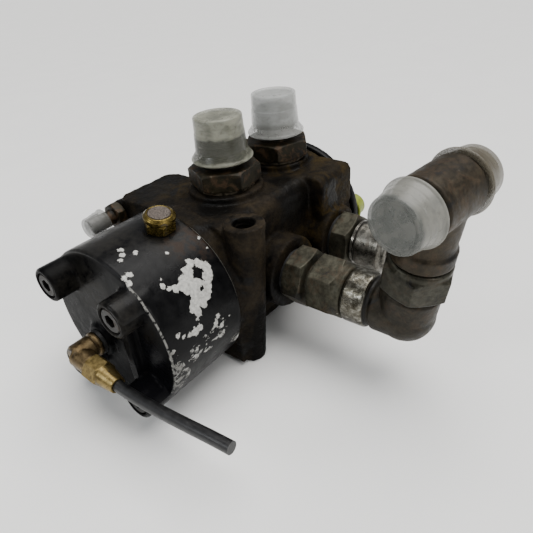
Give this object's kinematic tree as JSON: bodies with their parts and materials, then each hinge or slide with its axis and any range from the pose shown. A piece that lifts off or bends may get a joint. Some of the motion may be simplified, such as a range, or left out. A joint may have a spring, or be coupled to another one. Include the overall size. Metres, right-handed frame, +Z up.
{
  "type": "pneumatically actuated hydraulic monoblock valve",
  "caption": "Cast-iron hydraulic spool valve with an air-cylinder actuator, capped top ports, and a swivelling elbow and tee on a side port.",
  "frame": {"origin": "centre of the valve body's bottom face", "axes": "+X along the spool towards the air actuator, +Y towards the side ports, +Z up towards the top ports"},
  "size_m": [0.2024, 0.2034, 0.1276],
  "materials": {
    "cast_body": "rusty, oily cast surface",
    "black_paint": "satin black paint, chipped to bare metal",
    "black_oxide": "dull black oxide",
    "gasket": "matte",
    "rubber": "matte",
    "yellow_plastic": "satin moulded plastic",
    "ground_steel": "ground",
    "bare_aluminium": "turned",
    "guide_plastic": "matte",
    "spring_steel": "drawn wire",
    "brass": "dull, pitted",
    "sintered": "sintered grains",
    "black_nylon": "satin",
    "dark_steel": "oily, lightly rusted",
    "clear_cap": "translucent",
    "grey_cap": "translucent, dirty",
    "yellowed_cap": "translucent, yellowed",
    "olive_steel": "oily passivated zinc",
    "line_steel": "worn zinc over steel",
    "forged_steel": "dark forging, polished by handling"
  },
  "bodies": {
    "valve": {"valve_body": "cast_body", "actuator_housing": "black_paint", "actuator_screws": "black_oxide", "actuator_gasket": "gasket", "rear_cover": "black_paint", "rear_cover_screws": "black_oxide", "rear_cover_seal": "rubber", "rear_plug": "yellow_plastic", "spool_seals": "rubber", "return_spring": "spring_steel", "spring_seat": "ground_steel", "breather_body": "brass", "breather_filter": "sintered", "elbow_fitting": "brass", "elbow_seal": "rubber", "tube_nut": "brass", "tube_olive": "brass", "nylon_tube": "black_nylon", "test_fitting": "dark_steel", "front_adapter": "olive_steel", "front_adapter_seal": "rubber", "rear_adapter": "olive_steel", "rear_adapter_seal": "rubber", "line_a_adapter": "line_steel", "line_a_seal": "rubber", "line_a_nut": "line_steel", "line_b_adapter": "line_steel", "line_b_seal": "rubber", "line_b_ring": "ground_steel", "line_b_nut": "line_steel", "line_b_blank": "dark_steel", "relief_plug": "dark_steel", "relief_seal": "rubber", "relief_spring": "spring_steel", "relief_adjuster": "ground_steel", "relief_locknut": "dark_steel", "check_plug": "dark_steel", "check_seal": "rubber", "check_spring": "spring_steel"},
    "spool": {"spool": "ground_steel", "air_piston": "bare_aluminium", "piston_seal": "rubber", "piston_guide_ring": "guide_plastic", "piston_nut": "ground_steel"},
    "relief_poppet": {"relief_poppet": "ground_steel"},
    "check_poppet": {"check_poppet": "ground_steel"},
    "elbow": {"line_a_elbow": "forged_steel", "tee_nut": "line_steel"},
    "tee": {"tee_body": "forged_steel"},
    "front_cap": {"front_cap": "grey_cap"},
    "rear_cap": {"rear_cap": "clear_cap"},
    "test_cap": {"test_cap": "clear_cap"},
    "tee_cap_near": {"tee_cap_near": "clear_cap"},
    "tee_cap_far": {"tee_cap_far": "yellowed_cap"}
  },
  "joints": [
    {"name": "spool_slide", "type": "slide", "parent": "valve", "child": "spool", "axis": [-1, 0, 0], "range_m": [0, 0.01], "stiffness_N_per_m": 9000, "springref_m": -0.005, "deforming": ["return_spring"]},
    {"name": "relief_lift", "type": "slide", "parent": "valve", "child": "relief_poppet", "axis": [0, -1, 0], "range_m": [0, 0.003], "stiffness_N_per_m": 12000, "springref_m": -0.003, "deforming": ["relief_spring"]},
    {"name": "check_lift", "type": "slide", "parent": "valve", "child": "check_poppet", "axis": [0, -1, 0], "range_m": [0, 0.003], "stiffness_N_per_m": 900, "springref_m": -0.003, "deforming": ["check_spring"]},
    {"name": "elbow_swivel", "type": "hinge", "parent": "valve", "child": "elbow", "pos_m": [0.012, 0.085, 0.042], "axis": [0, 1, 0], "range_deg": [-35, 35]},
    {"name": "tee_swivel", "type": "hinge", "parent": "elbow", "child": "tee", "pos_m": [0.012, 0.1135, 0.042], "axis": [0.0858, 0.1736, 0.9811], "range_deg": [-60, 60]},
    {"name": "front_cap_pull", "type": "slide", "parent": "valve", "child": "front_cap", "axis": [0, 0, 1], "range_m": [0, 0.035]},
    {"name": "rear_cap_pull", "type": "slide", "parent": "valve", "child": "rear_cap", "axis": [0, 0, 1], "range_m": [0, 0.035]},
    {"name": "test_cap_pull", "type": "slide", "parent": "valve", "child": "test_cap", "axis": [1, 0, 0], "range_m": [0, 0.02]},
    {"name": "near_cap_pull", "type": "slide", "parent": "tee", "child": "tee_cap_near", "axis": [0.9823, -0.1795, -0.0542], "range_m": [0, 0.03]},
    {"name": "far_cap_pull", "type": "slide", "parent": "tee", "child": "tee_cap_far", "axis": [-0.9823, 0.1795, 0.0542], "range_m": [0, 0.03]}
  ]
}
